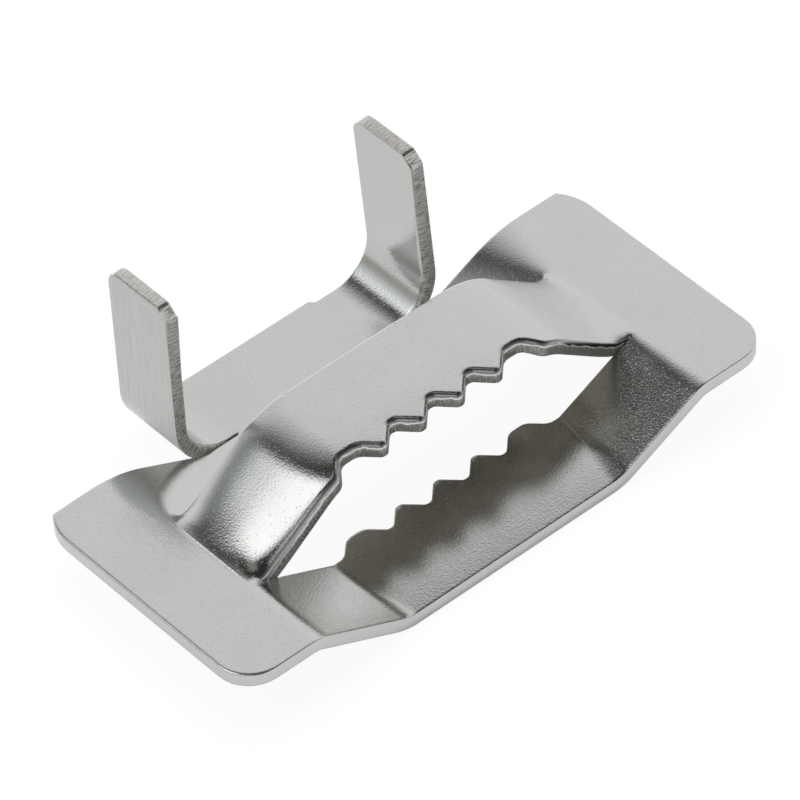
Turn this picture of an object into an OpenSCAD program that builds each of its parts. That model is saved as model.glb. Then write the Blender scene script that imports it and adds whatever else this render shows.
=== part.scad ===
// Strapping buckle with two fold-over ears, pressed from one stainless sheet.
// Two lance cuts free a bridge, which is pressed up. The strips in front of it and
// behind it are pressed down, so a steel band runs over a strip, under the bridge and
// over the other strip. The tongue behind carries two ears that are hammered over the band.
// Frame: X along the plate, +Y towards the ears, +Z up. The origin is on the face that
// the strips stand on, in the middle of the overall length and depth.

/* [Plate] */
// Length of the plate along X
plate_l = 44; // [40:0.5:60]
// Depth of the plate along Y, without the tongue
plate_w = 19.7; // [18:0.1:26]
// Thickness of the sheet
sheet_t = 1; // [0.6:0.05:1.4]
// Radius of the two front corners
front_corner_r = 2.5; // [1:0.1:4]
// Radius of the two back corners, which the straight back edge cuts short
back_corner_r = 4; // [2.5:0.1:6]
// Distance from the back edge at which the back corners start to turn in
back_corner_run = 2.5; // [0.5:0.1:2.5]

/* [Lance cuts] */
// Length of both lance cuts: the sheet is formed only between their ends
lance_l = 32.2; // [31:0.2:38]
// Distance of the front lance cut from the front edge
front_lance_y = 6.5; // [4:0.1:8]

/* [Bridge] */
// Width of the bridge, between the two lance cuts
bridge_w = 7.8; // [5:0.1:10]
// Height of the bridge's top face over the plate's top face
bridge_rise = 4.35; // [2:0.05:5]
// Slope of the bridge's two ramps, in degrees
bridge_ramp_angle = 37; // [30:1:50]
// Radius of the bridge's bends, on the sheet's top face
bridge_bend_r = 5.8; // [2:0.1:6.5]

/* [Strips] */
// Drop of the two strips under the plate
strip_drop = 3.35; // [2:0.05:4]
// Slope of the ramps down to the strips, in degrees
strip_ramp_angle = 26; // [20:1:40]
// Radius of the strips' bends, on the sheet's top face
strip_bend_r = 2.5; // [1.6:0.1:4]

/* [Teeth] */
// Number of teeth on the bridge
tooth_count = 4; // [2:1:5]
// Spacing of the teeth
tooth_pitch = 3.16; // [2:0.02:3.4]
// Depth of the teeth
tooth_depth = 1.15; // [0.5:0.05:2]
// Width of the flat at each tooth's tip and root
tooth_flat = 0.45; // [0.1:0.05:0.8]
// Length of the floor of the wide notch at each end of the row
end_notch_l = 1.4; // [0.4:0.1:2.5]

/* [Ears and tongue] */
// Clear width between the two ears
ear_gap = 19.8; // [16:0.1:22]
// Height of the ears' tops over the face that the strips stand on
ear_h = 14.7; // [10:0.1:20]
// Width of the ears along Y
ear_w = 5.7; // [4:0.1:9]
// Radius of the ears' bends, on the inside
ear_bend_r = 3; // [1.5:0.1:4]
// Angle that the left ear is folded up by, in degrees
left_fold = 90; // [80:0.5:96]
// Angle that the right ear is folded up by, in degrees
right_fold = 93; // [80:0.5:96]
// Chamfer on the front top corner of each ear
ear_chamfer = 0.8; // [0.2:0.1:2]
// Radius of the back top corner of each ear
ear_round = 1; // [0.2:0.1:2]
// Width of the slits that part the ears from the plate
slit_w = 0.15; // [0.1:0.05:0.5]
// Distance that each slit runs past the start of its ear's bend
slit_run = 0.7; // [0.2:0.1:2]
// Distance that the tongue's back edge stands behind the ears
lip = 0.35; // [0.1:0.05:1]
// Length of that back edge
lip_l = 10; // [6:0.5:11]

/* [Hidden] */
// Facets of a full circle in the plan outlines
$fn = 96;
// Steps along each bend
bend_steps = 10;
// Overlap of pieces of the sheet that run into each other
lap = 0.5;
// Reach of the trimming prisms past the sheet
reach = 5;
// Stainless steel with a satin mill finish
steel_color = [0.77, 0.77, 0.76];

plate_top = strip_drop + sheet_t;
back_lance_y = front_lance_y + bridge_w;
form_x = lance_l / 2;
ear_x = ear_gap / 2;
ear_y = plate_w + slit_w;
tongue_y = ear_y + ear_w + lip;
slit_x = ear_x - ear_bend_r - slit_run;
flank = tooth_pitch / 2 - tooth_flat;
row_x = tooth_count * tooth_pitch / 2;

function steps(from, to) = [for (i = [0 : bend_steps]) from + (to - from) * i / bend_steps];

// One half of a formed strip's face, from the land to the middle. It leaves the land at the
// lance's end, climbs (side = 1) or falls (side = -1) by rise, and lies depth under the top face.
function half_face(side, rise, angle, r, depth) =
    let (
        top_x = form_x - 2 * r * tan(angle / 2) - rise / tan(angle),
        foot_r = r + side * depth,
        head_r = r - side * depth
    )
    concat(
        [[form_x + lap, plate_top - depth]],
        [for (a = steps(0, angle)) [form_x - foot_r * sin(a), plate_top + side * (r - foot_r * cos(a))]],
        [for (a = steps(angle, 0)) [top_x + head_r * sin(a), plate_top + side * (rise - r + head_r * cos(a))]]
    );

function mirrored(points) = [for (i = [len(points) - 1 : -1 : 0]) [-points[i][0], points[i][1]]];

function reversed(points) = [for (i = [len(points) - 1 : -1 : 0]) points[i]];

// Closed section of a formed strip, in X and Z
function strip_section(side, rise, angle, r) =
    let (
        top = half_face(side, rise, angle, r, 0),
        under = half_face(side, rise, angle, r, sheet_t)
    )
    concat(top, mirrored(top), reversed(mirrored(under)), reversed(under));

// One half of the tongue's face, from its middle up the ear, depth under the inner face
function half_channel(fold, depth) =
    let (
        bend_x = ear_x - ear_bend_r,
        r = ear_bend_r + depth,
        climb = ear_h - sheet_t
    )
    concat(
        [for (a = steps(0, fold)) [bend_x + r * sin(a), sheet_t + ear_bend_r - r * cos(a)]],
        [[bend_x + r * sin(fold) + climb * cos(fold), sheet_t + ear_bend_r - r * cos(fold) + climb * sin(fold)]]
    );

// Closed section of the tongue with its two ears, in X and Z
function channel_section() =
    concat(
        half_channel(right_fold, 0),
        reversed(half_channel(right_fold, sheet_t)),
        reversed(mirrored(half_channel(left_fold, sheet_t))),
        mirrored(half_channel(left_fold, 0))
    );

// Line of the front lance cut from right to left, with the teeth that it leaves on both sides
function notch(x_from, x_to) = [
    [x_to + flank, front_lance_y],
    [x_to, front_lance_y + tooth_depth],
    [x_from, front_lance_y + tooth_depth],
    [x_from - flank, front_lance_y]
];

function lance_line() =
    let (end_x = row_x - tooth_flat / 2)
    concat(
        notch(end_x, end_x + end_notch_l),
        [
            for (i = [tooth_count - 1 : -1 : 1])
                each notch(i * tooth_pitch - row_x - tooth_flat / 2, i * tooth_pitch - row_x + tooth_flat / 2)
        ],
        notch(-end_x - end_notch_l, -end_x)
    );

// A section in X and Z, drawn out along Y
module drawn(y_from, y_to, section) {
    translate([0, y_to, 0])
        rotate([90, 0, 0])
            linear_extrude(y_to - y_from)
                polygon(section);
}

// A plan outline, as a prism through the whole height
module prism() {
    translate([0, 0, -reach])
        linear_extrude(ear_h + 2 * reach)
            children();
}

module corner_cutter(r) {
    difference() {
        square(r + reach);
        circle(r);
    }
}

// Plan of the plate: round front corners, back corners cut short by the back edge
module plate_plan() {
    difference() {
        translate([-plate_l / 2, 0])
            square([plate_l, plate_w]);
        for (side = [-1, 1]) {
            translate([side * (plate_l / 2 - front_corner_r), front_corner_r])
                mirror([side < 0 ? 1 : 0, 0])
                    mirror([0, 1])
                        corner_cutter(front_corner_r);
            translate([side * (plate_l / 2 - back_corner_r), plate_w - back_corner_run])
                mirror([side < 0 ? 1 : 0, 0])
                    corner_cutter(back_corner_r);
        }
    }
}

// The two ends of the plate, which the lance cuts leave flat and in one piece
module lands() {
    for (x = [-plate_l / 2, form_x])
        translate([x, 0, strip_drop])
            cube([plate_l / 2 - form_x, plate_w, sheet_t]);
}

module front_strip() {
    intersection() {
        drawn(0, front_lance_y + tooth_depth, strip_section(-1, strip_drop, strip_ramp_angle, strip_bend_r));
        prism()
            polygon(concat(
                [[-plate_l / 2, front_lance_y], [-plate_l / 2, 0], [plate_l / 2, 0], [plate_l / 2, front_lance_y]],
                lance_line()
            ));
    }
}

module bridge() {
    intersection() {
        drawn(front_lance_y, back_lance_y, strip_section(1, bridge_rise, bridge_ramp_angle, bridge_bend_r));
        prism()
            polygon(concat(
                [[-plate_l / 2, front_lance_y], [-plate_l / 2, back_lance_y]],
                [[plate_l / 2, back_lance_y], [plate_l / 2, front_lance_y]],
                lance_line()
            ));
    }
}

module back_strip() {
    drawn(back_lance_y, plate_w, strip_section(-1, strip_drop, strip_ramp_angle, strip_bend_r));
}

// Side view of an ear, in Y and Z: a chamfer in front, a round corner behind
module ear_outline() {
    difference() {
        square([ear_w, ear_h]);
        polygon([[-lap, ear_h + lap], [-lap, ear_h - ear_chamfer - lap], [ear_chamfer + lap, ear_h + lap]]);
        translate([ear_w - ear_round, ear_h - ear_round])
            corner_cutter(ear_round);
    }
}

module tongue() {
    translate([-slit_x, plate_w - lap, 0])
        cube([2 * slit_x, slit_w + 2 * lap, sheet_t]);
    translate([-lip_l / 2, tongue_y - lip - lap, 0])
        cube([lip_l, lip + lap, sheet_t]);
    intersection() {
        drawn(ear_y, ear_y + ear_w, channel_section());
        translate([-plate_l / 2, ear_y, 0])
            rotate([90, 0, 90])
                linear_extrude(plate_l)
                    ear_outline();
    }
}

module buckle() {
    color(steel_color)
        translate([0, -tongue_y / 2, 0]) {
            intersection() {
                union() {
                    lands();
                    front_strip();
                    bridge();
                    back_strip();
                }
                prism()
                    plate_plan();
            }
            tongue();
        }
}

buckle();
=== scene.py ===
# Strapping buckle: one stainless sheet, blanked, lanced, pressed and folded.
# All lengths are in metres, in the frame's own axes.
import math

import bpy
import numpy as np
from mathutils import Matrix, Vector
from mathutils.geometry import delaunay_2d_cdt
from mathutils.kdtree import KDTree


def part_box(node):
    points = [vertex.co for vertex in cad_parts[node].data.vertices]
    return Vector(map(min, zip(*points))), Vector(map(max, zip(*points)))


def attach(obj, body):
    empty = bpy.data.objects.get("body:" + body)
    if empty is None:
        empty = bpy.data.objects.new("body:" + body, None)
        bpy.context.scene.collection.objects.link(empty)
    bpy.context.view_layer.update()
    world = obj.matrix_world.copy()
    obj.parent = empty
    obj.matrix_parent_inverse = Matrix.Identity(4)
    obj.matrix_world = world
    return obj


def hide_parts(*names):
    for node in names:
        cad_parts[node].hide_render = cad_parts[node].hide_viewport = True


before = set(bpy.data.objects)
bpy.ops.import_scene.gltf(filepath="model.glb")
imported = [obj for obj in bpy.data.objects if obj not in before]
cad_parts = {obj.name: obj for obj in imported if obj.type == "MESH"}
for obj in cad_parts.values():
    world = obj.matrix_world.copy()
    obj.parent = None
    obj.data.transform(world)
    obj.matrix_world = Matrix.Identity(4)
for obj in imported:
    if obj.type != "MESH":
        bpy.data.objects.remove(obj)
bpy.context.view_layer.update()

# The blank: stainless sheet, sheared to the plate's outline with a tongue and two long ears behind it.
# Two lance cuts free the bridge, the front one toothed, and two slits part the ears from the plate.
# Each cut edge is rolled over on top, where the punch came from, and torn rough below.
mm = 0.001
low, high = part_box("buckle")
plate_end = high.x
front_y = low.y
lip_y = high.y
top_room = 0.02 * mm
ear_top = high.z - top_room
sheet = 1.0 * mm
back_y = front_y + 19.7 * mm
front_corner_r = 2.5 * mm
back_corner_r = 4.0 * mm
back_corner_run = 2.5 * mm
lance_end = 15.2 * mm
tooth_cut_end = 15.6 * mm
lance_y = front_y + 6.5 * mm
back_lance_y = lance_y + 7.8 * mm
kerf = 0.02 * mm
tooth_count = 4
tooth_pitch = 3.16 * mm
tooth_depth = 1.15 * mm
tooth_flat = 0.45 * mm
tooth_r = 0.45 * mm
end_notch = 1.4 * mm
end_notch_r = 1.0 * mm
slit = 0.15 * mm
slit_run = 0.7 * mm
ear_gap = 19.8 * mm
ear_bend_r = 3.0 * mm
ear_bend_x = ear_gap / 2 - ear_bend_r
slit_end = ear_bend_x - slit_run
left_fold = math.radians(90)
right_fold = math.radians(93)
lip_depth = 0.35 * mm
ear_front_y = back_y + slit
ear_back_y = lip_y - lip_depth
ear_chamfer = 0.8 * mm
ear_chamfer_r = 0.25 * mm
ear_corner_r = 1.0 * mm
right_lip = 5.0 * mm
left_lip = 6.0 * mm
lip_r = 0.3 * mm
arc_step = 7
corner_step = 12
sharpest = 0.3


def arc(x, y, radius, start, stop):
    """Corners along an arc, from one angle to another in degrees, with nothing left to round."""
    steps = max(2, round(abs(stop - start) / arc_step))
    angles = [math.radians(start + (stop - start) * i / steps) for i in range(steps + 1)]
    return [(x + radius * math.cos(a), y + radius * math.sin(a), 0) for a in angles]


def rounded(corners):
    """Points along a line through corners (x, y, radius), with each corner rounded to its radius."""
    points = []
    for i, (x, y, radius) in enumerate(corners):
        corner = Vector((x, y))
        if radius == 0:
            points.append(corner)
            continue
        to_last = (Vector(corners[i - 1][:2]) - corner).normalized()
        to_next = (Vector(corners[(i + 1) % len(corners)][:2]) - corner).normalized()
        half = to_last.angle(to_next) / 2
        centre = corner + (to_last + to_next).normalized() * radius / math.sin(half)
        first = corner + to_last * radius / math.tan(half) - centre
        last = corner + to_next * radius / math.tan(half) - centre
        turn = first.angle_signed(last)
        steps = max(2, round(abs(math.degrees(turn)) / corner_step))
        for k in range(steps + 1):
            points.append(centre + Matrix.Rotation(-turn * k / steps, 2) @ first)
    return points


def ear_end(fold):
    """Where an ear ends in the flat, so that its top stands at the right height once it is folded."""
    outer_r = ear_bend_r + (sheet if fold > math.pi / 2 else 0)
    straight = (ear_top - sheet - ear_bend_r + outer_r * math.cos(fold)) / math.sin(fold)
    return ear_bend_x + ear_bend_r * fold + straight


def half_outline(fold, lip_half):
    """Corners of one half of the blank, from the middle of its front edge to the middle of the lip."""
    end = ear_end(fold)
    turn = math.degrees(math.asin(back_corner_run / back_corner_r))
    return [
        (plate_end, front_y, front_corner_r),
        *arc(plate_end - back_corner_r, back_y - back_corner_run, back_corner_r, 0, turn),
        *arc(slit_end, back_y + slit / 2, slit / 2, 270, 90),
        (end - ear_chamfer, ear_front_y, ear_chamfer_r),
        (end, ear_front_y + ear_chamfer, ear_chamfer_r),
        (end, ear_back_y, ear_corner_r),
        (lip_half + lip_r, ear_back_y, lip_r),
        (lip_half, lip_y, lip_r),
    ]


def lance_corners():
    """Corners of the toothed lance cut from left to right."""
    flank = tooth_pitch / 2 - tooth_flat
    root_y = lance_y + tooth_depth
    row_end = tooth_count * tooth_pitch / 2 - tooth_flat / 2
    corners = [
        (-lance_end, lance_y, 0),
        (-row_end - end_notch - flank, lance_y, end_notch_r),
        (-row_end - end_notch, root_y, end_notch_r),
    ]
    for i in range(tooth_count):
        x = (i + 0.5 - tooth_count / 2) * tooth_pitch
        first_r = end_notch_r if i == 0 else tooth_r
        last_r = end_notch_r if i == tooth_count - 1 else tooth_r
        corners += [
            (x - tooth_flat / 2 - flank, root_y, first_r),
            (x - tooth_flat / 2, lance_y, tooth_r),
            (x + tooth_flat / 2, lance_y, tooth_r),
            (x + tooth_flat / 2 + flank, root_y, last_r),
        ]
    corners += [
        (row_end + end_notch, root_y, end_notch_r),
        (row_end + end_notch + flank, lance_y, end_notch_r),
        (tooth_cut_end, lance_y, 0),
    ]
    return corners


def slot(line):
    """A lance cut as a narrow closed slot, with the sheet on the left of its line all the way round."""
    front_side = [(p.x, p.y - kerf / 2) for p in reversed(line)]
    back_side = [(p.x, p.y + kerf / 2) for p in line]
    return [*front_side, (line[0].x - kerf / 2, line[0].y), *back_side, (line[-1].x + kerf / 2, line[-1].y)]


def spaced(points, step):
    """A closed line with its long stretches split, so that it can follow the bends."""
    out = []
    for a, b in zip(points, [*points[1:], points[0]]):
        a, b = np.array(a), np.array(b)
        count = max(1, math.ceil(np.linalg.norm(b - a) / step))
        out += [a + (b - a) * k / count for k in range(count)]
    return np.array(out)


def inward(loop):
    """At each point of a closed line, the way into the sheet, long enough to shift both sides by 1."""
    ahead = np.roll(loop, -1, 0) - loop
    ahead /= np.linalg.norm(ahead, axis=1, keepdims=True)
    left = np.stack([-ahead[:, 1], ahead[:, 0]], 1)
    last = np.roll(left, 1, 0)
    return (left + last) / np.maximum(1 + (left * last).sum(1, keepdims=True), sharpest)


def inside(points, loops):
    """Which points lie on the sheet: an odd number of cut lines lies beyond each."""
    odd = np.zeros(len(points), bool)
    for loop in loops:
        for (x0, y0), (x1, y1) in zip(loop, np.roll(loop, -1, 0)):
            if y0 != y1:
                between = (points[:, 1] < y0) != (points[:, 1] < y1)
                odd ^= between & (points[:, 0] < x0 + (points[:, 1] - y0) * (x1 - x0) / (y1 - y0))
    return odd


edge_step = 0.22 * mm
right_side = half_outline(right_fold, right_lip)
left_side = [(-x, y, r) for x, y, r in reversed(half_outline(left_fold, left_lip))]
lance_line = rounded(lance_corners())
back_line = [Vector((-lance_end, back_lance_y)), Vector((lance_end, back_lance_y))]
cut_lines = (rounded(right_side + left_side), slot(lance_line), slot(back_line))
loops = [spaced(points, edge_step) for points in cut_lines]
outline, tooth_cut, back_cut = loops

# A cut edge is rolled over on top and upright below, with its lower edge broken a little. The roll is widest
# on the bridge's side of the toothed cut, along the ears' fronts and at the plate's left end.
outer_roll = 0.04 * mm
strip_roll = 0.04 * mm
left_roll = 0.18 * mm
left_roll_run = (-21.6 * mm, -19.0 * mm)
ear_roll = 0.32 * mm
ear_roll_start = (0, 2.0 * mm)
ear_roll_stop = (1.0 * mm, 6.0 * mm)
bridge_roll = 0.3 * mm
bridge_roll_depth = 0.52 * mm
left_taper_run = 1.5 * mm
right_taper_run = 6.0 * mm
least_taper = 0.15
roll_steepness = 1.2
edge_break = 0.05 * mm
on_line = 0.01 * mm
roll_steps = 5
roll_turns = [math.pi / 2 * k / roll_steps for k in range(roll_steps + 1)]
wall_depths = (0.65, 0.75, 0.85, 0.95)

lance_x = np.array([p.x for p in lance_line])
lance_ys = np.array([p.y for p in lance_line])
on_bridge_side = tooth_cut[:, 1] > np.interp(tooth_cut[:, 0], lance_x, lance_ys)
left_taper = (tooth_cut[:, 0] + lance_end) / left_taper_run
right_taper = (tooth_cut_end - tooth_cut[:, 0]) / right_taper_run
taper = np.clip(np.minimum(left_taper, right_taper), least_taper, 1)
tooth_rolls = np.where(on_bridge_side, bridge_roll * taper, strip_roll)
tooth_steepness = np.where(on_bridge_side, bridge_roll_depth / bridge_roll, roll_steepness)[:, None]

outline_x, outline_y = outline.T
in_slit = (abs(outline_y - back_y - slit / 2) < slit) & (abs(outline_x) < ear_gap / 2)
plate_rolls = np.interp(outline_x, left_roll_run, (left_roll, outer_roll))
plate_rolls = np.where(in_slit, strip_roll, plate_rolls)
ear_run = abs(outline_x) - ear_bend_x
ear_span = np.where(outline_x < 0, ear_end(left_fold), ear_end(right_fold)) - ear_bend_x
ear_roll_in = np.interp(ear_run, ear_roll_start, (strip_roll, ear_roll))
ear_roll_out = np.interp(ear_span - ear_run, ear_roll_stop, (outer_roll, ear_roll))
on_ear_front = (abs(outline_y - ear_front_y) < on_line) & (ear_run > 0)
outline_rolls = np.where(on_ear_front, np.minimum(ear_roll_in, ear_roll_out), plate_rolls)

back_rolls = np.full(len(back_cut), strip_roll)
rolls = [values[:, None] for values in (outline_rolls, tooth_rolls, back_rolls)]
roll_depths = [rolls[0] * roll_steepness, rolls[1] * tooth_steepness, rolls[2] * roll_steepness]

# On the flat blank a row of points follows each cut at an even distance, and the creases that the press
# will make have rows of their own. A grid fills the rest.
crease_x = 16.1 * mm
crease_half = 0.05 * mm
front_width = lance_y - front_y
rear_width = back_y - back_lance_y
strip_corner = 15.87 * mm
strip_drop = 3.35 * mm
strip_lift = 0.32 * mm
strip_angle = math.radians(25.5)
strip_crease_r = 0.25 * mm
strip_edge_r = 3.0 * mm
strip_crease_gaps = np.arange(0.3, 3.6, 0.3) * mm
row_in = 0.15 * mm
row_clear = 0.95 * row_in
row_gap = 0.1 * mm
grid_x = 0.3 * mm
grid_y = 0.36 * mm
grid_gap = 0.2 * mm
ways_in = [inward(loop) for loop in loops]
face_loops = [loop + way * roll for loop, way, roll in zip(loops, ways_in, rolls)]
rim = np.concatenate(face_loops)


def near_to(points):
    """A tree that finds the nearest of some points of the flat blank."""
    tree = KDTree(len(points))
    for i, (x, y) in enumerate(points):
        tree.insert((x, y, 0), i)
    tree.balance()
    return tree


def clear_of(points, others, gap):
    """The points that lie further than gap from all the others."""
    tree = near_to(others)
    return np.array([p for p in points if tree.find((*p, 0))[2] > gap])


def strip_crease(gap, width):
    """Where the lower bend of a strip ends and starts, at some distance from the lance cut."""
    share = gap / width
    turn_r = strip_crease_r + (strip_edge_r - strip_crease_r) * share
    fall = strip_drop - strip_lift * (1 - share**2)
    end_x = strip_corner - turn_r * math.tan(strip_angle / 2) - fall / math.tan(strip_angle)
    return end_x, end_x + turn_r * math.sin(strip_angle)


row = np.concatenate([loop + way * (roll + row_in) for loop, way, roll in zip(loops, ways_in, rolls)])
row = clear_of(row, rim, row_clear)
row = row[inside(row, face_loops)]
row = row[[k for k in range(len(row)) if k == 0 or np.linalg.norm(row[k] - row[k - 1]) > row_gap]]
crease_xs = [hand * (crease_x + step) for hand in (-1, 1) for step in (-crease_half, crease_half)]
crease_ys = np.arange(lance_y + grid_y, back_lance_y - grid_y / 2, grid_y)
crease = [(x, y) for x in crease_xs for y in crease_ys]
for gap in strip_crease_gaps:
    for y, width in ((lance_y - gap, front_width), (back_lance_y + gap, rear_width)):
        crease += [(hand * turn_x, y) for hand in (-1, 1) for turn_x in strip_crease(gap, width)]
crease = np.array(crease)
row = np.concatenate([row, crease[inside(crease, face_loops)]])
reach = math.ceil(max(ear_end(left_fold), ear_end(right_fold), plate_end) / grid_x)
columns = np.arange(-reach, reach + 1) * grid_x
grid = np.stack(np.meshgrid(columns, np.arange(front_y, lip_y, grid_y)), -1).reshape(-1, 2)
grid = clear_of(grid[inside(grid, face_loops)], np.concatenate([rim, row]), grid_gap)

# The points are joined into triangles, in millimetres, and those off the sheet and the slivers are dropped.
same_point = 1e-5
sliver = 0.002 * mm
flat = np.concatenate([rim, row, grid]) / mm
starts = np.cumsum([0] + [len(loop) for loop in loops])
cuts = [(s + k, s + (k + 1) % n) for s, n in zip(starts, map(len, loops)) for k in range(n)]
points, _, triangles, sources, _, _ = delaunay_2d_cdt([Vector(p) for p in flat], cuts, [], 0, same_point)
if len(points) != len(flat):
    raise ValueError("the flat blank has points on top of each other")
order = np.array([s[0] for s in sources])
plan = np.array([p[:] for p in points]) * mm
place = np.empty(len(order), int)
place[order] = np.arange(len(order))
triangles = np.array(triangles)
a, b, c = (plan[triangles[:, k]] for k in range(3))
area = (b - a)[:, 0] * (c - a)[:, 1] - (b - a)[:, 1] * (c - a)[:, 0]
longest = np.max([np.linalg.norm(side, axis=1) for side in (b - a, c - b, a - c)], axis=0)
triangles = triangles[(area > longest * sliver) & inside((a + b + c) / 3, face_loops)]

# The top face, the same face a sheet lower, and rings of points down each cut edge.
count = len(plan)
upper = np.column_stack([plan, np.zeros(count)])
under = np.column_stack([plan, np.full(count, -sheet)])
faces = [tuple(t) for t in triangles]
faces += [tuple(t[::-1] + count) for t in triangles]
on_bridge = (plan[:, 1] > np.interp(plan[:, 0], lance_x, lance_ys)) & (plan[:, 1] < back_lance_y)
on_tongue = plan[:, 1] > back_y
rim_run = np.zeros(count)
rings = []
bridge = [on_bridge, on_bridge]
tongue = [on_tongue, on_tongue]
lanced = [np.zeros(count), np.zeros(count)]
edge_depth = [np.zeros(count), np.ones(count)]
edge_run = [rim_run, rim_run]
next_vert = 2 * count
for loop, way, roll, deep, start in zip(loops, ways_in, rolls, roll_depths, starts):
    length = len(loop)
    top = place[start:start + length]
    under[top, :2] = loop + way * edge_break
    run = np.concatenate([[0], np.cumsum(np.linalg.norm(np.diff(loop, axis=0), axis=1))])
    rim_run[top] = run
    section = [(roll * (1 - math.sin(a)), deep * (1 - math.cos(a))) for a in roll_turns[1:]]
    section += [(0, np.full((length, 1), sheet * share)) for share in wall_depths]
    levels = [top]
    for inset, depth in section:
        rings.append(np.column_stack([loop + way * inset, -depth]))
        bridge.append(on_bridge[top])
        tongue.append(on_tongue[top])
        lanced.append(np.full(length, loop is not outline))
        edge_depth.append(depth[:, 0] / sheet)
        edge_run.append(run)
        levels.append(np.arange(next_vert, next_vert + length))
        next_vert += length
    levels.append(top + count)
    following = (np.arange(length) + 1) % length
    for above, below in zip(levels, levels[1:]):
        faces += zip(above, below, below[following], above[following])
verts = np.concatenate([upper, under, *rings])
lance_tree = near_to(tooth_cut)
lance_gap = np.array([lance_tree.find((x, y, 0))[2] for x, y, _ in verts])

blank = bpy.data.meshes.new("buckle_sheet")
blank.from_pydata(verts.tolist(), [], [[int(i) for i in face] for face in faces])
blank.polygons.foreach_set("use_smooth", np.ones(len(blank.polygons), bool))
for name, values in (
    ("bridge", np.concatenate(bridge)),
    ("tongue", np.concatenate(tongue)),
    ("lanced", np.concatenate(lanced)),
    ("lance_gap", lance_gap),
    ("edge_depth", np.concatenate(edge_depth)),
    ("edge_run", np.concatenate(edge_run)),
):
    layer = blank.attributes.new(name, "FLOAT", "POINT")
    layer.data.foreach_set("value", values.astype(np.float32))
layer = blank.attributes.new("flat_place", "FLOAT_VECTOR", "POINT")
layer.data.foreach_set("vector", verts.astype(np.float32).ravel())
buckle = bpy.data.objects.new("buckle_sheet", blank)
bpy.context.scene.collection.objects.link(buckle)

# The press: the tool pushes the bridge up and the two strips down between the lands, and folds the ears up.
# A point on top of the flat plate keeps its X and Y, and its height follows the section of its strip.
# The sheet's thickness is laid off square to that section.
press = bpy.data.node_groups.new("press_and_fold", "GeometryNodeTree")
press.interface.new_socket("Geometry", in_out="INPUT", socket_type="NodeSocketGeometry")
press.interface.new_socket("Geometry", in_out="OUTPUT", socket_type="NodeSocketGeometry")
press_sizes = {}


class Field:
    """A number that the press works out at every point. Sums of Fields become Math nodes."""

    def __init__(self, socket):
        self.socket = socket

    def math(self, operation, *others):
        node = press.nodes.new("ShaderNodeMath")
        node.operation = operation
        for entry, value in zip(node.inputs, (self, *others)):
            if isinstance(value, Field):
                press.links.new(value.socket, entry)
            else:
                entry.default_value = value
        return Field(node.outputs[0])

    def __add__(self, other):
        return self.math("ADD", other)

    def __sub__(self, other):
        return self.math("SUBTRACT", other)

    def __mul__(self, other):
        return self.math("MULTIPLY", other)

    def __truediv__(self, other):
        return self.math("DIVIDE", other)

    def __neg__(self):
        return self * -1

    def between(self, least, most):
        return self.math("MAXIMUM", least).math("MINIMUM", most)

    def to(self, other, share):
        return self + (other - self) * share


def sized(name, value):
    """A named input of the press, with its size."""
    entry = press.interface.new_socket(name, in_out="INPUT", socket_type="NodeSocketFloat")
    press_sizes[entry.identifier] = value
    return name


def named(name):
    """A value that the blank carries at each point."""
    node = press.nodes.new("GeometryNodeInputNamedAttribute")
    node.data_type = "FLOAT"
    node.inputs["Name"].default_value = name
    return Field(node.outputs["Attribute"])


def ramp(x, foot_x, rise, angle, foot_r, head_r):
    """Height and slope of a section that leaves level 0 at foot_x and climbs by rise towards the middle."""
    sine = angle.math("SINE")
    tangent = angle.math("TANGENT")
    half = (angle / 2).math("TANGENT")
    head_x = foot_x - (foot_r + head_r) * half - rise / tangent
    foot_turn = ((foot_x - x) / foot_r).between(0, sine).math("ARCSINE")
    head_turn = ((x - head_x) / head_r).between(0, sine).math("ARCSINE")
    foot_stop = foot_x - foot_r * sine
    run = (foot_stop - head_x - head_r * sine).math("MAXIMUM", 0)
    climb = (foot_stop - x).between(0, run) * tangent
    foot_part = foot_r - foot_r * foot_turn.math("COSINE")
    head_part = head_r * (head_turn.math("COSINE") - angle.math("COSINE"))
    return foot_part + climb + head_part, foot_turn.math("MINIMUM", head_turn)


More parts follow.
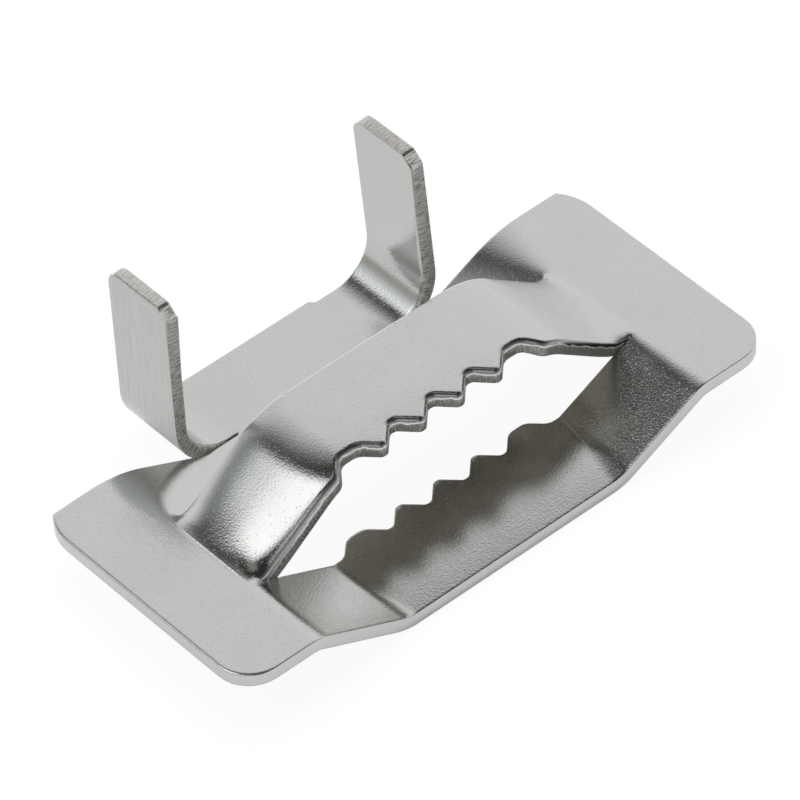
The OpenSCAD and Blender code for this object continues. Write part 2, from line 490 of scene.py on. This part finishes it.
past_lance = 0.1 * mm
size_names = [
    sized("Sheet thickness", sheet),
    sized("Plate top", strip_drop + sheet),
    sized("Bridge rise", 4.35 * mm),
    sized("Bridge ramp angle", math.radians(34)),
    sized("Bridge side angle", math.radians(37)),
    sized("Bridge side start", lance_end + past_lance),
    sized("Bridge head radius", 5.8 * mm),
    sized("Bridge foot radius", 27.0 * mm),
    sized("Bridge crease", crease_x),
    sized("Bridge crease angle", math.radians(24.5)),
    sized("Bridge corner radius", 1.87 * mm),
    sized("Bridge left dip", 0.32 * mm),
    sized("Bridge right dip", 0.064 * mm),
    sized("Bridge front flare", 0.5),
    sized("Bridge rear flare", 0.2),
    sized("Bridge front power", 8.0),
    sized("Bridge rear power", 5.0),
    sized("Bridge crown", 0.1 * mm),
    sized("Bridge crown reach", crease_x / 2),
    sized("Bridge cross crown", 0.08 * mm),
    sized("Bridge edge droop", 0.05 * mm),
    sized("Bridge droop run", 0.4 * mm),
    sized("Bridge middle", (lance_y + back_lance_y) / 2),
    sized("Bridge half width", (back_lance_y - lance_y) / 2),
    sized("Strip corner", strip_corner),
    sized("Strip drop", strip_drop),
    sized("Strip rear lift", strip_lift),
    sized("Strip ramp angle", strip_angle),
    sized("Strip foot radius", 2.5 * mm),
    sized("Strip rear radius", 9.0 * mm),
    sized("Strip tip radius", 1.2 * mm),
    sized("Strip tip shift", 0.1 * mm),
    sized("Strip crease radius", strip_crease_r),
    sized("Strip edge radius", strip_edge_r),
    sized("Strip width", front_width),
    sized("Strip rear width", rear_width),
    sized("Ear bend start", ear_bend_x),
    sized("Ear bend radius", ear_bend_r),
    sized("Left fold", left_fold),
    sized("Right fold", right_fold),
]
size_in = press.nodes.new("NodeGroupInput")
size = {name: Field(size_in.outputs[name]) for name in size_names}
split = press.nodes.new("ShaderNodeSeparateXYZ")
press.links.new(press.nodes.new("GeometryNodeInputPosition").outputs[0], split.inputs[0])
flat_x, flat_y, flat_z = (Field(split.outputs[k]) for k in range(3))
out_x = flat_x.math("ABSOLUTE")
hand = flat_x.math("SIGN")
on_left = flat_x.math("LESS_THAN", 0)
on_right = flat_x.math("GREATER_THAN", 0)
in_front = flat_y.math("LESS_THAN", size["Bridge middle"])
from_middle = (flat_y - size["Bridge middle"]).math("ABSOLUTE")
below_top = -flat_z
is_bridge = named("bridge")
is_tongue = named("tongue")

# Strips: they hang lowest at the plate's edges, and their lower bends are sharp creases at the lance cuts.
# Their upper bends are tighter at the cuts' right ends, and wider on the back strip.
strip_width = size["Strip rear width"].to(size["Strip width"], in_front)
from_lance = ((from_middle - size["Bridge half width"]) / strip_width).between(0, 1)
strip_head_r = size["Strip crease radius"].to(size["Strip edge radius"], from_lance)
strip_depth = size["Strip drop"] - size["Strip rear lift"] * (-(from_lance * from_lance) + 1)
right_tip = (-from_lance + 1) * on_right
strip_turn_r = size["Strip foot radius"].to(size["Strip tip radius"], right_tip)
strip_turn_r = strip_turn_r.to(size["Strip rear radius"], from_lance * (-in_front + 1))
strip_start = size["Strip corner"] - size["Strip tip shift"] * right_tip
strip_start = strip_start + strip_turn_r * (size["Strip ramp angle"] / 2).math("TANGENT")
strip_fall, strip_slope = ramp(
    out_x, strip_start, strip_depth, size["Strip ramp angle"], strip_turn_r, strip_head_r
)

# Bridge: a crease across its foot, and corners that dip with the strips to where the lance cuts end.
crease_sine = size["Bridge crease angle"].math("SINE")
crease_cosine = size["Bridge crease angle"].math("COSINE")
crease_lift = size["Bridge foot radius"] - size["Bridge foot radius"] * crease_cosine
middle_rise, middle_slope = ramp(
    out_x,
    size["Bridge crease"] + size["Bridge foot radius"] * crease_sine,
    size["Bridge rise"] + crease_lift,
    size["Bridge ramp angle"],
    size["Bridge foot radius"],
    size["Bridge head radius"],
)
middle_rise = (middle_rise - crease_lift).math("MAXIMUM", 0)
middle_slope = middle_slope * out_x.math("LESS_THAN", size["Bridge crease"])
corner_dip = size["Bridge right dip"].to(size["Bridge left dip"], on_left)
side_rise, side_slope = ramp(
    out_x,
    size["Bridge side start"],
    size["Bridge rise"] + corner_dip,
    size["Bridge side angle"],
    size["Bridge corner radius"],
    size["Bridge head radius"],
)
side_rise = side_rise - corner_dip
off_land = side_rise.math("GREATER_THAN", -strip_fall)
side_rise = side_rise.math("MAXIMUM", -strip_fall)
side_slope = (-strip_slope).to(side_slope, off_land)
across = (from_middle / size["Bridge half width"]).between(0, 1)
freed = ((size["Bridge side start"] - out_x) / size["Bridge corner radius"]).between(0, 1)
near_edge = (-(named("lance_gap") / size["Bridge droop run"]) + 1).math("MAXIMUM", 0)
sag = size["Bridge cross crown"] * across * across * in_front
sag = sag + size["Bridge edge droop"] * near_edge * near_edge
flare = size["Bridge rear flare"].to(size["Bridge front flare"], in_front)
power = size["Bridge rear power"].to(size["Bridge front power"], in_front)
side_share = across * across * flare + across.math("POWER", power) * (-flare + 1)
from_crown = (out_x / size["Bridge crown reach"]).math("POWER", 2)
crown = size["Bridge crown"] * (-from_crown + 1).math("MAXIMUM", 0)
bridge_rise = middle_rise.to(side_rise, side_share) + crown - sag * freed
bridge_slope = middle_slope.to(side_slope, side_share)

# Both, with the sheet's thickness laid off square to the section.
rise = (-strip_fall).to(bridge_rise, is_bridge)
slope = (-strip_slope).to(bridge_slope, is_bridge)
plate_x = out_x - below_top * slope.math("SINE")
plate_z = size["Plate top"] + rise - below_top * slope.math("COSINE")

# Ears: the tongue lies on the strips' level and turns up round the bends.
fold = size["Left fold"].to(size["Right fold"], on_right)
past_start = out_x - size["Ear bend start"]
turned = (past_start / size["Ear bend radius"]).between(0, fold)
straight = (past_start - size["Ear bend radius"] * fold).math("MAXIMUM", 0)
bend_r = size["Ear bend radius"] + below_top
turned_sine = turned.math("SINE")
turned_cosine = turned.math("COSINE")
tongue_x = out_x.math("MINIMUM", size["Ear bend start"]) + bend_r * turned_sine + straight * turned_cosine
bend_z = size["Sheet thickness"] + size["Ear bend radius"]
tongue_z = bend_z - bend_r * turned_cosine + straight * turned_sine

pressed_x = plate_x.to(tongue_x, is_tongue) * hand
pressed_z = plate_z.to(tongue_z, is_tongue)
joined = press.nodes.new("ShaderNodeCombineXYZ")
for entry, value in zip(joined.inputs, (pressed_x, flat_y, pressed_z)):
    press.links.new(value.socket, entry)
formed = press.nodes.new("GeometryNodeSetPosition")
realized = press.nodes.new("GeometryNodeRealizeInstances")
coated = press.nodes.new("GeometryNodeSetMaterial")
done = press.nodes.new("NodeGroupOutput")
press.links.new(size_in.outputs["Geometry"], formed.inputs["Geometry"])
press.links.new(joined.outputs[0], formed.inputs["Position"])
press.links.new(formed.outputs["Geometry"], realized.inputs["Geometry"])
press.links.new(realized.outputs["Geometry"], coated.inputs["Geometry"])
press.links.new(coated.outputs["Geometry"], done.inputs["Geometry"])

# The finish: rolled stainless with a satin skin, peppered with fine pits from tumbling.
# Cut edges are smooth and bright under the roll, then torn and streaked across the sheet.
# Two creases and one edge carry painted highlights, the bridge's underside painted shade, and the ears' cut
# walls painted light and shade.
steel = bpy.data.materials.new("satin_stainless")
steel.use_nodes = True
nodes, links = steel.node_tree.nodes, steel.node_tree.links
shader = nodes["Principled BSDF"]
skin_color = (0.555, 0.563, 0.549, 1)
speck_color = (0.30, 0.295, 0.28, 1)
# Painted shade: a brown for the bridge's underside, standing in for the shade and dark reflections beneath
# the bridge.
bridge_under_shade_color = (0.38, 0.345, 0.29, 1)
# Painted highlight: a near-white for bright lines along two creases and the bridge's rear edge.
painted_highlight_color = (0.93, 0.93, 0.92, 1)
burnish_color = (0.65, 0.64, 0.635, 1)
lance_color = (0.36, 0.355, 0.35, 1)
# Painted shade: the ears' tops are darker than the other cut edges.
ear_top_shade_color = (0.42, 0.415, 0.40, 1)
torn_color = (0.47, 0.43, 0.37, 1)
torn_light = (0.90, 0.88, 0.84, 1)
torn_dark = (0.12, 0.115, 0.105, 1)
# Painted light: the ears' torn walls are a lighter copy of the tear.
ear_torn_lit_color = (0.42, 0.39, 0.34, 1)
ear_torn_lit_streak = (0.97, 0.95, 0.91, 1)
torn_lip_color = (0.96, 0.955, 0.94, 1)


def new(kind, **settings):
    """A new node of the tree at hand, with its settings."""
    node = nodes.new(kind)
    for name, value in settings.items():
        setattr(node, name, value)
    return node


def put(value, entry):
    """Links a socket to a node's input, or sets the input to a constant."""
    if isinstance(value, bpy.types.NodeSocket):
        links.new(value, entry)
    else:
        entry.default_value = value


def feed(node, **values):
    """Sets a node's inputs by name, from sockets or constants."""
    for name, value in values.items():
        put(value, node.inputs[name.replace("_", " ")])
    return node


def worked(operation, *values):
    """The result of a Math node."""
    node = new("ShaderNodeMath", operation=operation)
    for entry, value in zip(node.inputs, values):
        put(value, entry)
    return node.outputs[0]


def times(first, *others):
    """Values multiplied together."""
    for other in others:
        first = worked("MULTIPLY", first, other)
    return first


def spread(value, low_in, high_in, low_out=0.0, high_out=1.0):
    """A value taken from one range to another, with a soft start and end."""
    node = new("ShaderNodeMapRange", interpolation_type="SMOOTHSTEP")
    feed(node, Value=value, From_Min=low_in, From_Max=high_in, To_Min=low_out, To_Max=high_out)
    return node.outputs["Result"]


def line(value, at, half):
    """Full within half of a value, and none at twice that distance."""
    away = worked("ABSOLUTE", worked("SUBTRACT", value, at))
    return spread(away, half, 2 * half, 1.0, 0.0)


def blended(share, first, second):
    """One colour turned into another by a share."""
    node = new("ShaderNodeMix", data_type="RGBA")
    for entry, value in zip((node.inputs[0], node.inputs[6], node.inputs[7]), (share, first, second)):
        put(value, entry)
    return node.outputs[2]


def noise(place, scale, detail, roughness=0.5):
    """Soft noise from 0 to 1, with its scale in waves to the metre."""
    node = new("ShaderNodeTexNoise")
    feed(node, Vector=place, Scale=scale, Detail=detail, Roughness=roughness)
    return node.outputs["Fac"]


def carried(name, output="Fac"):
    """A value that the mesh carries at each point."""
    return new("ShaderNodeAttribute", attribute_name=name).outputs[output]


def parts(vector):
    """The X, Y and Z of a vector."""
    return feed(new("ShaderNodeSeparateXYZ"), Vector=vector).outputs


object_place = new("ShaderNodeTexCoord").outputs["Object"]
flat_place = carried("flat_place", "Vector")
sheet_x, sheet_y, _ = parts(flat_place)
depth_at = carried("edge_depth")
run_at = carried("edge_run")
ear_at = carried("tongue")
bridge_at = carried("bridge")
lanced_at = carried("lanced")

# Pits, with the fine roughness between them, and the rolling grain, which shows on the ears' outer faces.
pit_scale = 6500.0
pit_tint = 0.08
fine_scale = 7500.0
fine_roughness = 0.6
cloud_scale = 260.0
grain_scale = 9000.0
grain_stretch = (0.03, 1.0, 1.0)
grain_tint = 0.22
under_from = 0.97
pits = feed(new("ShaderNodeTexVoronoi", feature="F1"), Vector=object_place, Scale=pit_scale)
pit_hue = new("ShaderNodeSeparateColor")
links.new(pits.outputs["Color"], pit_hue.inputs[0])
pit_shape = spread(pits.outputs["Distance"], 0.03, 0.27, 1.0, 0.0)
pit = times(pit_shape, spread(pit_hue.outputs[0], 0.45, 1.0))
fine = noise(object_place, fine_scale, 2.0, fine_roughness)
cloud = noise(object_place, cloud_scale, 3.0)
grain_place = feed(new("ShaderNodeMapping"), Vector=flat_place, Scale=grain_stretch).outputs[0]
grain = noise(grain_place, grain_scale, 2.0)
underside = spread(depth_at, under_from, 1.0)
skin = blended(times(pit, pit_tint), skin_color, speck_color)
# Painted shade on the bridge's underside.
skin = blended(times(underside, bridge_at), skin, bridge_under_shade_color)
brushed = times(underside, ear_at, spread(grain, 0.42, 0.62, 0.0, grain_tint))
skin = blended(brushed, skin, speck_color)

# Painted highlights: bright lines on the bridge's left foot, on the front strip's right crease and along the
# bridge's rear edge.
highlight_half = 0.035 * mm
foot_highlight_y = lance_y + 3.5 * mm
foot_highlight_half = 1.6 * mm
strip_highlight_gap = 3.2 * mm
strip_highlight_out = 0.055 * mm
strip_highlight_half = 0.95 * mm
rear_highlight_in = 0.05 * mm
rear_highlight_half = 7.5 * mm
rear_highlight_share = 0.35
foot_highlight = times(line(sheet_x, -crease_x - crease_half, highlight_half), line(sheet_y, foot_highlight_y, foot_highlight_half))
crease_start = strip_crease(0, front_width)[0]
slant = (crease_start - strip_crease(strip_highlight_gap, front_width)[0]) / strip_highlight_gap
crease_line = worked("MULTIPLY_ADD", sheet_y, -slant, sheet_x)
strip_highlight = times(
    line(crease_line, crease_start + strip_highlight_out - slant * lance_y, highlight_half),
    line(sheet_y, lance_y - strip_highlight_gap / 2, strip_highlight_half),
)
rear_highlight = times(
    line(sheet_y, back_lance_y - rear_highlight_in, rear_highlight_in),
    line(sheet_x, 0.0, rear_highlight_half),
    bridge_at,
    rear_highlight_share,
)
painted_highlights = worked("MAXIMUM", worked("MAXIMUM", foot_highlight, strip_highlight), rear_highlight)
skin = blended(times(painted_highlights, spread(fine, 0.35, 0.5, 0.2, 1.0)), skin, painted_highlight_color)

# Cut edges: the tear starts at a wavy depth, sooner on the ears.
# The ears' tops are painted darker than their sides as shade, with less tear and a darker cut colour, and the
# ears' torn sides carry a lighter copy of the tear as painted light.
tear_scale = 1500.0
tear_wave = 0.35
ear_tear = 0.28
ear_top_run = (22.1 * mm, 22.2 * mm)
top_tear = 0.35
lance_dark = 0.55
torn_lip_depth = 0.45
torn_lip_half = 0.03
streak_scale = 9500.0
streak_drift = 0.16 * mm
on_edge = times(spread(depth_at, 0.0, 0.08), spread(depth_at, wall_depths[-1], 1.0, 1.0, 0.0))
streak_place = feed(new("ShaderNodeCombineXYZ"), X=run_at, Y=times(depth_at, streak_drift), Z=0.0)
streaks = noise(streak_place.outputs[0], streak_scale, 3.0)
tear_depth = worked("MULTIPLY_ADD", ear_at, ear_tear, depth_at)
tear_depth = worked("MULTIPLY_ADD", noise(object_place, tear_scale, 2.0), tear_wave, tear_depth)
tear_share = spread(worked("ABSOLUTE", sheet_x), *ear_top_run, 1.0, top_tear)
raw = worked("MAXIMUM", lanced_at, ear_at)
torn = times(spread(tear_depth, 0.46, 0.54), on_edge, raw, tear_share)
torn_lip = times(line(tear_depth, torn_lip_depth, torn_lip_half), on_edge, lanced_at)
ear_side = times(ear_at, spread(tear_share, top_tear, 1.0))
cut_color = blended(lanced_at, burnish_color, lance_color)
# Painted shade: the ears' tops take a darker cut colour.
cut_color = blended(spread(tear_share, top_tear, 1.0, 1.0, 0.0), cut_color, ear_top_shade_color)
torn_skin = blended(spread(streaks, 0.38, 0.64), torn_color, torn_light)
torn_skin = blended(times(lanced_at, lance_dark), torn_skin, torn_dark)
# Painted light: the ears' torn sides take a lighter copy of the tear.
ear_torn = blended(spread(streaks, 0.34, 0.58), ear_torn_lit_color, ear_torn_lit_streak)
torn_skin = blended(ear_side, torn_skin, ear_torn)
skin = blended(on_edge, skin, cut_color)
skin = blended(torn, skin, torn_skin)
skin = blended(torn_lip, skin, torn_lip_color)

# The tear is duller and rougher than the skin.
torn_metal = 0.45
torn_lip_metal = 0.3
ear_torn_metal = 0.5
torn_rough = 0.3
pit_relief = -0.9
skin_relief = 0.01 * mm
torn_relief = 0.05 * mm
torn_strength = 0.7
metal = times(
    spread(torn, 0.0, 1.0, 1.0, torn_metal),
    spread(torn_lip, 0.0, 1.0, 1.0, torn_lip_metal),
    spread(times(torn, ear_side), 0.0, 1.0, 1.0, ear_torn_metal),
)
rough = new("ShaderNodeMix", data_type="FLOAT")
put(torn, rough.inputs[0])
put(spread(cloud, 0.3, 0.7, 0.145, 0.185), rough.inputs[2])
put(torn_rough, rough.inputs[3])
skin_bump = new("ShaderNodeBump")
feed(skin_bump, Strength=1.0, Distance=skin_relief, Height=worked("MULTIPLY_ADD", pit, pit_relief, fine))
torn_bump = new("ShaderNodeBump")
feed(torn_bump, Strength=times(torn, torn_strength), Distance=torn_relief, Height=streaks)
feed(torn_bump, Normal=skin_bump.outputs[0])
feed(shader, Base_Color=skin, Metallic=metal, Roughness=rough.outputs[0], Normal=torn_bump.outputs[0])

coated.inputs["Material"].default_value = steel
forming = buckle.modifiers.new("press_and_fold", "NODES")
forming.node_group = press
for identifier, value in press_sizes.items():
    forming[identifier] = value
pressed = bpy.data.meshes.new_from_object(buckle.evaluated_get(bpy.context.evaluated_depsgraph_get()))
buckle.modifiers.clear()
buckle.data = pressed
pressed.name = "buckle_sheet"
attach(buckle, "root")
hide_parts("buckle")

# The setting: a floor of white paper, a lamp overhead and the room that the steel reflects.
# The paper glows, strongly to the camera so that it shows white, and faintly in the steel.
floor_half = 6.0
floor_signs = ((-1, -1), (1, -1), (1, 1), (-1, 1))
paper_color = (0.8, 0.8, 0.8, 1)
paper_seen_color = (0.09, 0.09, 0.09, 1)
paper_glow = 0.93
paper_mirror_glow = 0.2
floor_mesh = bpy.data.meshes.new("floor")
floor_corners = [(x * floor_half, y * floor_half, 0) for x, y in floor_signs]
floor_mesh.from_pydata(floor_corners, [], [(0, 1, 2, 3)])
floor = bpy.data.objects.new("floor", floor_mesh)
bpy.context.scene.collection.objects.link(floor)
paper = bpy.data.materials.new("white_paper")
paper.use_nodes = True
floor_mesh.materials.append(paper)
nodes, links = paper.node_tree.nodes, paper.node_tree.links
nodes.clear()
path = new("ShaderNodeLightPath").outputs
seen = path["Is Camera Ray"]
mirrored = worked("MAXIMUM", path["Is Glossy Ray"], path["Is Transmission Ray"])
glow_share = worked("MAXIMUM", times(seen, paper_glow), times(mirrored, paper_mirror_glow))
matt = feed(new("ShaderNodeBsdfDiffuse"), Color=blended(seen, paper_color, paper_seen_color))
glow = feed(new("ShaderNodeEmission"), Color=(1, 1, 1, 1), Strength=glow_share)
floor_sum = new("ShaderNodeAddShader")
links.new(matt.outputs[0], floor_sum.inputs[0])
links.new(glow.outputs[0], floor_sum.inputs[1])
links.new(floor_sum.outputs[0], new("ShaderNodeOutputMaterial").inputs["Surface"])

ceiling_lamp = bpy.data.lights.new("ceiling_lamp", "AREA")
ceiling_lamp.shape = "DISK"
ceiling_lamp.size = 0.5
ceiling_lamp.energy = 2.6
lamp = bpy.data.objects.new("ceiling_lamp", ceiling_lamp)
lamp.location = (0.1, 0.15, 0.8)
lamp.visible_glossy = False
bpy.context.scene.collection.objects.link(lamp)

# A white backdrop behind and to the right, a softbox high on the left, and a dark ceiling.
backdrop_way = (0.707, 0.707, 0.0)
backdrop_soft = 0.04
backdrop_color = (1.0, 1.0, 1.0, 1)
softbox_way = (-0.549, 0.280, 0.788)
softbox_half = math.radians(17)
softbox_stop_way = (1.0, 0.5, 0.0)
softbox_color = (1.75, 1.75, 1.75, 1)
ceiling_color = (0.036, 0.033, 0.029, 1)
room_color = (0.13, 0.136, 0.142, 1)
side_color = (0.90, 0.945, 1.0, 1)
side_low_color = (0.52, 0.495, 0.455, 1)
front_color = (0.5, 0.495, 0.49, 1)
zenith_color = (0.3, 0.3, 0.295, 1)
world = bpy.data.worlds.new("studio")
bpy.context.scene.world = world
world.use_nodes = True
nodes, links = world.node_tree.nodes, world.node_tree.links
nodes.clear()
view = new("ShaderNodeTexCoord").outputs["Generated"]
view_x, view_y, view_z = parts(view)


def towards(direction):
    """How far the view goes in a direction."""
    node = new("ShaderNodeVectorMath", operation="DOT_PRODUCT")
    put(view, node.inputs[0])
    put(direction, node.inputs[1])
    return node.outputs["Value"]


side = times(spread(view_x, -0.68, -0.26, 0.9, 0.0), spread(view_z, 0.66, 0.78, 1.0, 0.0))
front = times(spread(view_y, -0.3, -0.05, 1.0, 0.0), spread(view_z, 0.12, 0.36, 1.0, 0.0))
backdrop_top = spread(view_x, 0.05, 0.42, 0.866, 0.82)
under_top = worked("SUBTRACT", backdrop_top, view_z)
backdrop = times(spread(towards(backdrop_way), 0.2, 0.7), spread(under_top, -backdrop_soft, backdrop_soft))
softbox = spread(towards(softbox_way), math.cos(softbox_half * 1.5), math.cos(softbox_half * 0.6))
softbox = times(softbox, spread(towards(softbox_stop_way), -0.17, -0.06, 1.0, 0.0))
room = blended(spread(view_z, 0.62, 0.76), room_color, ceiling_color)
room = blended(side, room, blended(spread(view_z, 0.2, 0.5), side_low_color, side_color))
room = blended(front, room, front_color)
room = blended(spread(view_z, 0.955, 0.985), room, zenith_color)
room = blended(backdrop, room, backdrop_color)
room = blended(softbox, room, softbox_color)
sky = feed(new("ShaderNodeBackground"), Color=room, Strength=1.0)
links.new(sky.outputs[0], new("ShaderNodeOutputWorld").inputs["Surface"])

# The camera: a long lens from the front left, well above the buckle, tipped a little on its side.
camera_aim = Vector((0.96, -1.03, 4.78)) * mm
camera_away = 455.8 * mm
camera_azimuth = math.radians(-38.38)
camera_elevation = math.radians(44.61)
camera_roll = math.radians(-3.79)
eye = bpy.data.cameras.new("camera")
eye.sensor_width = 36.0
eye.lens = 324.6
eye.clip_start = 0.01
camera = bpy.data.objects.new("camera", eye)
bpy.context.scene.collection.objects.link(camera)
camera_turn = (
    Matrix.Rotation(camera_azimuth, 4, "Z")
    @ Matrix.Rotation(math.pi / 2 - camera_elevation, 4, "X")
    @ Matrix.Rotation(camera_roll, 4, "Z")
)
camera.matrix_world = Matrix.Translation(camera_aim) @ camera_turn @ Matrix.Translation((0, 0, camera_away))
bpy.context.scene.camera = camera
bpy.context.scene.view_settings.view_transform = "Standard"
